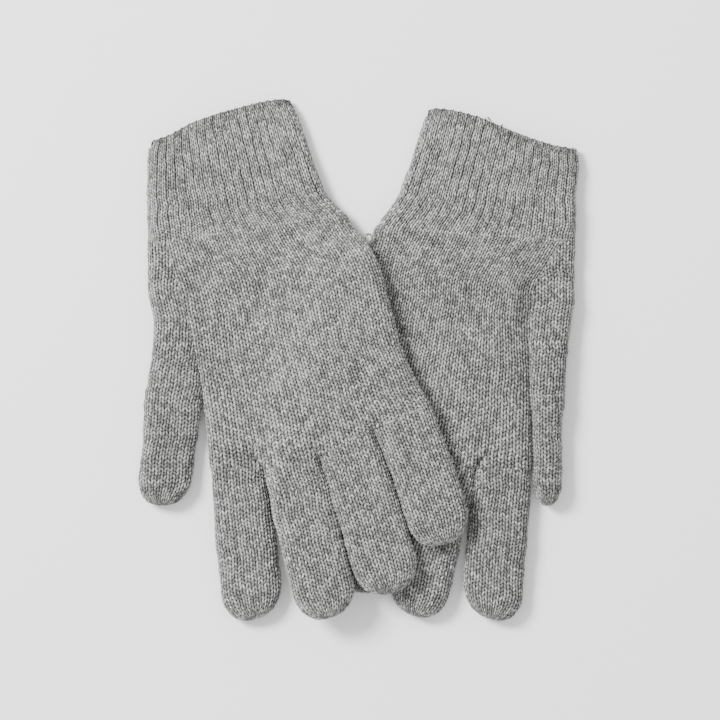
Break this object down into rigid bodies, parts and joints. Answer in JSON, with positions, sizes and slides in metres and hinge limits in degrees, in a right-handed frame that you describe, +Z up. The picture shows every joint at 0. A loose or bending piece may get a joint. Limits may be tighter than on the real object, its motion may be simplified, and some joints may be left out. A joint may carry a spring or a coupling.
{
  "type": "knitted gloves",
  "caption": "Plain knitted wool gloves with ribbed cuffs, palm up, one lying partly on the other; hollow cuffs, hands, thumbs and fingers that fold.",
  "frame": {"origin": "middle of the bottom of the pair's box, on the surface the gloves lie on", "axes": "+Z up out of the palms, +Y towards the cuffs, +X towards the lower glove's thumb"},
  "size_m": [0.2112, 0.2501, 0.0205],
  "materials": {
    "knit_wool": "melange grey wool, plain knit with fine wales, slightly fuzzy",
    "rib_wool": "melange grey wool, one-by-one ribbing",
    "edge_wool": "melange grey wool, rolled cast-on edge"
  },
  "bodies": {
    "lower_hand": {"lower_hand": "knit_wool", "lower_thumb_gusset": "knit_wool", "lower_finger_joins": "knit_wool"},
    "lower_cuff": {"lower_cuff": "rib_wool", "lower_cuff_edge": "edge_wool"},
    "lower_thumb": {"lower_thumb": "knit_wool"},
    "lower_index_finger": {"lower_index_finger": "knit_wool"},
    "lower_middle_finger": {"lower_middle_finger": "knit_wool"},
    "lower_ring_finger": {"lower_ring_finger": "knit_wool"},
    "lower_little_finger": {"lower_little_finger": "knit_wool"},
    "upper_hand": {"upper_hand": "knit_wool", "upper_thumb_gusset": "knit_wool", "upper_finger_joins": "knit_wool"},
    "upper_cuff": {"upper_cuff": "rib_wool", "upper_cuff_edge": "edge_wool"},
    "upper_thumb": {"upper_thumb": "knit_wool"},
    "upper_index_finger": {"upper_index_finger": "knit_wool"},
    "upper_middle_finger": {"upper_middle_finger": "knit_wool"},
    "upper_ring_finger": {"upper_ring_finger": "knit_wool"},
    "upper_little_finger": {"upper_little_finger": "knit_wool"}
  },
  "joints": [
    {"name": "upper_glove_lift", "type": "slide", "parent": "lower_hand", "child": "upper_hand", "axis": [0, 0, 1], "range_m": [0, 0.1]},
    {"name": "upper_cuff_fold", "type": "hinge", "parent": "upper_hand", "child": "upper_cuff", "pos_m": [-0.05413, 0.06291, 0.01], "axis": [0.9894, 0.1454, 0], "range_deg": [0, 90]},
    {"name": "upper_thumb_fold", "type": "hinge", "parent": "upper_hand", "child": "upper_thumb", "pos_m": [-0.08953, -0.01734, 0.01], "axis": [-1, 0, 0], "range_deg": [0, 60]},
    {"name": "upper_index_fold", "type": "hinge", "parent": "upper_hand", "child": "upper_index_finger", "pos_m": [-0.05832, -0.05334, 0.01], "axis": [-0.9583, -0.2857, 0], "range_deg": [0, 90]},
    {"name": "upper_middle_fold", "type": "hinge", "parent": "upper_hand", "child": "upper_middle_finger", "pos_m": [-0.03369, -0.046, 0.0205], "axis": [-0.9583, -0.2857, 0], "range_deg": [0, 90]},
    {"name": "upper_ring_fold", "type": "hinge", "parent": "upper_hand", "child": "upper_ring_finger", "pos_m": [-0.00686, -0.038, 0.0205], "axis": [-0.9583, -0.2857, 0], "range_deg": [0, 90]},
    {"name": "upper_little_fold", "type": "hinge", "parent": "upper_hand", "child": "upper_little_finger", "pos_m": [0.02112, -0.02966, 0.0205], "axis": [-0.9583, -0.2857, 0], "range_deg": [0, 90]},
    {"name": "lower_cuff_fold", "type": "hinge", "parent": "lower_hand", "child": "lower_cuff", "pos_m": [0.05547, 0.06056, 0.01], "axis": [0.9982, -0.0603, 0], "range_deg": [0, 90]},
    {"name": "lower_thumb_fold", "type": "hinge", "parent": "lower_hand", "child": "lower_thumb", "pos_m": [0.09087, -0.01734, 0.012], "axis": [-1, 0, 0], "range_deg": [0, 60]},
    {"name": "lower_index_fold", "type": "hinge", "parent": "lower_hand", "child": "lower_index_finger", "pos_m": [0.07012, -0.05294, 0.01], "axis": [-0.9583, 0.2857, 0], "range_deg": [0, 90]},
    {"name": "lower_middle_fold", "type": "hinge", "parent": "lower_hand", "child": "lower_middle_finger", "pos_m": [0.04664, -0.04594, 0], "axis": [-0.9583, 0.2857, 0], "range_deg": [-90, 0]},
    {"name": "lower_ring_fold", "type": "hinge", "parent": "lower_hand", "child": "lower_ring_finger", "pos_m": [0.0201, -0.03803, 0], "axis": [-0.9583, 0.2857, 0], "range_deg": [-90, 0]},
    {"name": "lower_little_fold", "type": "hinge", "parent": "lower_hand", "child": "lower_little_finger", "pos_m": [-0.00779, -0.02971, 0], "axis": [-0.9583, 0.2857, 0], "range_deg": [-90, 0]}
  ]
}
